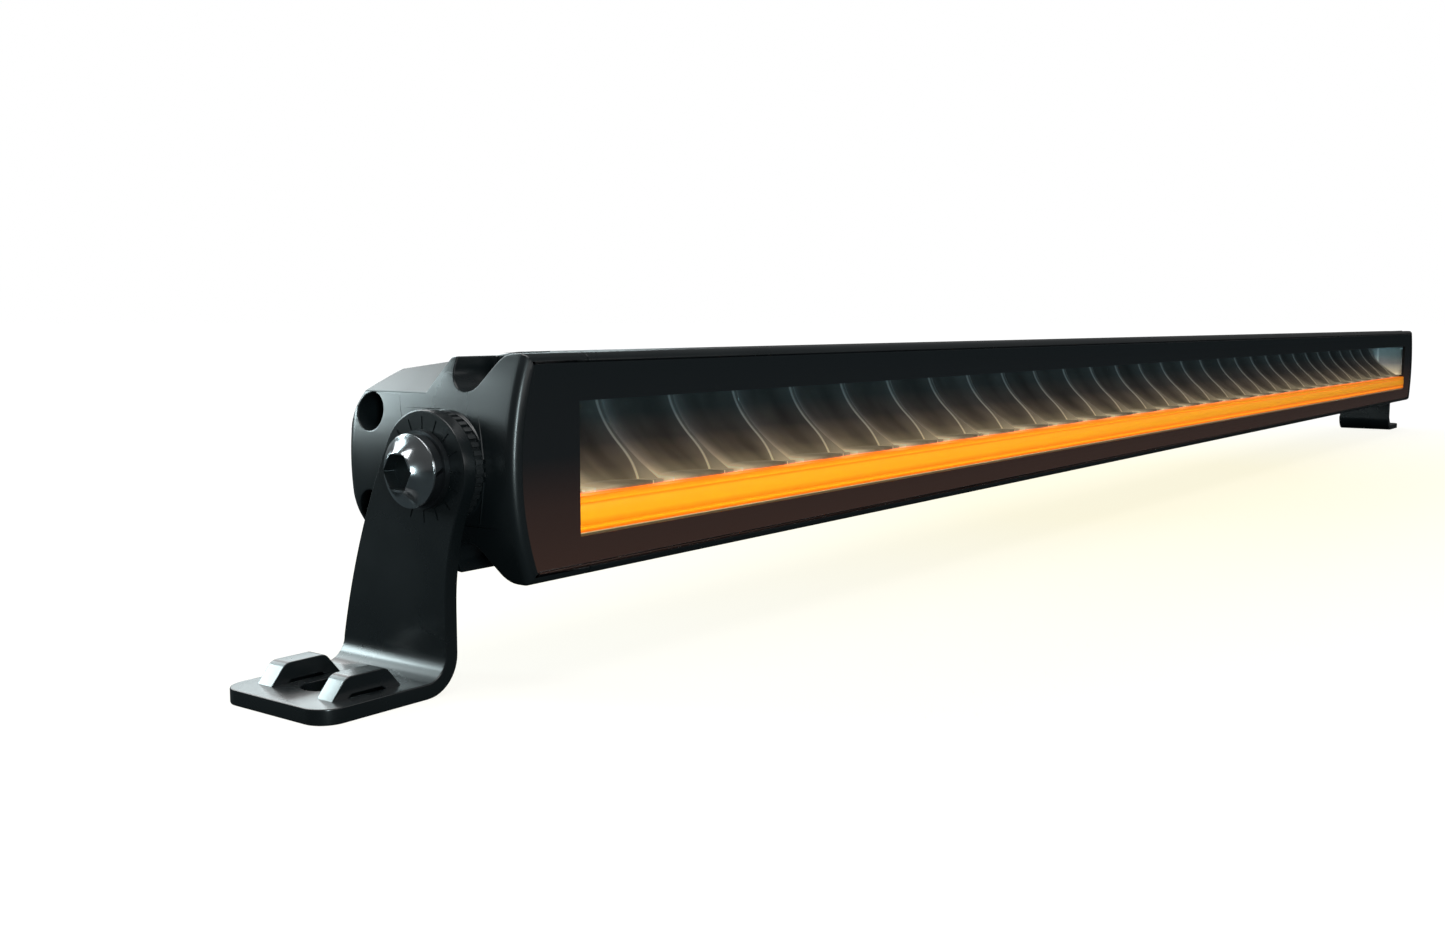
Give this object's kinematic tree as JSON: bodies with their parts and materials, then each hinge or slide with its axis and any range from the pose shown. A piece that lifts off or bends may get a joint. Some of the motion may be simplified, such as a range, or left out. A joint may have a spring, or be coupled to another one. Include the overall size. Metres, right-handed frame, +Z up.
{
  "type": "led light bar",
  "caption": "Slim straight LED light bar: finned extrusion, bowed end caps, clear lens over reflectors and an amber light guide, tilting on a foot bracket at each end.",
  "frame": {"origin": "midway between the two foot slots, on the surface that the feet are bolted to", "axes": "+X along the bar to the lamp's left-hand end as seen from the vehicle it is fixed to, -Y the way the beam leaves, +Z up from the mounting surface"},
  "size_m": [1.158, 0.064, 0.0856],
  "materials": {
    "housing": "satin black powder coat",
    "gasket": "matt",
    "cap_screw": "black oxide",
    "lens": "clear hard-coated polycarbonate",
    "mask": "printed black border behind the lens",
    "reflector": "vacuum-metallised, satin mirror",
    "zinc": "zinc plated",
    "white_board": "white solder mask",
    "thermal_pad": "soft pad",
    "led": "phosphor",
    "amber_led": "amber lens",
    "light_guide": "diffusing amber",
    "carrier": "moulded black",
    "green_board": "solder mask",
    "driver_parts": "component bodies",
    "gland": "moulded nylon",
    "bracket": "satin black powder coat on steel",
    "bolt": "bright stainless steel",
    "washer": "black zinc",
    "ring": "satin black"
  },
  "bodies": {
    "mount": {"left_bracket": "bracket", "right_bracket": "bracket"},
    "lamp": {"housing_extrusion": "housing", "left_end_cap": "housing", "right_end_cap": "housing", "left_end_gasket": "gasket", "right_end_gasket": "gasket", "left_cap_screws": "cap_screw", "right_cap_screws": "cap_screw", "lens": "lens", "lens_mask": "mask", "lens_gasket": "gasket", "left_reflector": "reflector", "centre_reflector": "reflector", "right_reflector": "reflector", "left_reflector_end": "reflector", "right_reflector_end": "reflector", "reflector_screws": "zinc", "left_led_board": "white_board", "centre_led_board": "white_board", "right_led_board": "white_board", "thermal_pads": "thermal_pad", "led_chips": "led", "led_board_screws": "zinc", "light_guide": "light_guide", "guide_carrier": "carrier", "amber_board": "white_board", "amber_leds": "amber_led", "driver_board": "green_board", "driver_parts": "driver_parts", "driver_standoffs": "zinc", "driver_screws": "zinc", "cable_gland": "gland", "gland_nut": "gland", "gland_seal": "gasket", "breather_vent": "gland", "left_pivot_bolt": "bolt", "right_pivot_bolt": "bolt", "left_spring_washer": "washer", "right_spring_washer": "washer", "left_plain_washer": "washer", "right_plain_washer": "washer", "left_tilt_ring": "ring", "right_tilt_ring": "ring"}
  },
  "joints": [
    {"name": "lamp_tilt", "type": "hinge", "parent": "mount", "child": "lamp", "pos_m": [0, -0.0129, 0.0565], "axis": [1, 0, 0], "range_deg": [-90, 90]}
  ]
}
